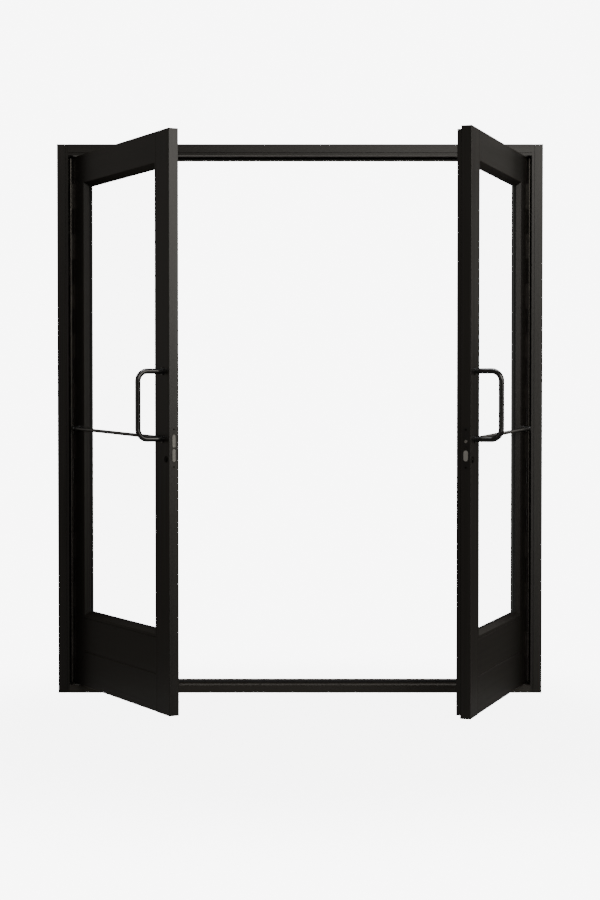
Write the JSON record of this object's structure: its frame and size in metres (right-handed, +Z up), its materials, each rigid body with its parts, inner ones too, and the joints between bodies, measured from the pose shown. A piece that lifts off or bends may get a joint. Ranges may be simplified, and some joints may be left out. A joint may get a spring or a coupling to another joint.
{
  "type": "storefront double door",
  "caption": "Pair of black aluminium glazed swing doors in a four sided frame, with pulls, cross bars, continuous hinges and a sill.",
  "frame": {"origin": "underside of the sill, middle of the frame's width and depth", "axes": "+X to the right along the frame seen from outside, +Y into the building, +Z up"},
  "size_m": [1.924, 0.9391, 2.178],
  "materials": {
    "frame_finish": "satin black anodised",
    "stop_finish": "satin black anodised",
    "leaf_finish": "satin black anodised",
    "bead_finish": "satin black anodised",
    "hinge_finish": "satin black anodised",
    "hardware_finish": "semi-gloss black",
    "cylinder_finish": "dark oxidised",
    "lock_steel": "satin",
    "pin_steel": "black oxidised",
    "gasket": "matt",
    "glass": "clear"
  },
  "bodies": {
    "frame": {"head": "frame_finish", "sill": "frame_finish", "left_jamb": "frame_finish", "right_jamb": "frame_finish", "head_stop": "stop_finish", "sill_stop": "stop_finish", "left_jamb_stop": "stop_finish", "right_jamb_stop": "stop_finish", "stop_gaskets": "gasket", "left_hinge_frame_wing": "hinge_finish", "right_hinge_frame_wing": "hinge_finish", "left_hinge_pin": "pin_steel", "right_hinge_pin": "pin_steel", "jamb_caps": "frame_finish"},
    "left_leaf": {"left_hinge_stile": "leaf_finish", "left_lock_stile": "leaf_finish", "left_top_rail": "leaf_finish", "left_bottom_rail_upper": "leaf_finish", "left_bottom_rail_lower": "leaf_finish", "left_glass": "glass", "left_outer_beads": "bead_finish", "left_inner_beads": "bead_finish", "left_glass_strips": "gasket", "left_pull": "hardware_finish", "left_cross_bar": "hardware_finish", "left_key_cylinder": "cylinder_finish", "left_stile_caps": "leaf_finish", "left_lock_plate": "lock_steel", "left_hinge_leaf_wing": "hinge_finish"},
    "right_leaf": {"right_hinge_stile": "leaf_finish", "right_lock_stile": "leaf_finish", "right_top_rail": "leaf_finish", "right_bottom_rail_upper": "leaf_finish", "right_bottom_rail_lower": "leaf_finish", "right_glass": "glass", "right_outer_beads": "bead_finish", "right_inner_beads": "bead_finish", "right_glass_strips": "gasket", "right_pull": "hardware_finish", "right_cross_bar": "hardware_finish", "right_key_cylinder": "cylinder_finish", "right_stile_caps": "leaf_finish", "right_strike_plate": "lock_steel", "right_hinge_leaf_wing": "hinge_finish", "right_astragal": "leaf_finish"}
  },
  "joints": [
    {"name": "left_leaf_swing", "type": "hinge", "parent": "frame", "child": "left_leaf", "pos_m": [-0.911, -0.03, 1.082], "axis": [0, 0, -1], "range_deg": [-61, 39]},
    {"name": "right_leaf_swing", "type": "hinge", "parent": "frame", "child": "right_leaf", "pos_m": [0.911, -0.03, 1.082], "axis": [0, 0, 1], "range_deg": [-70.5, 29.5]}
  ]
}
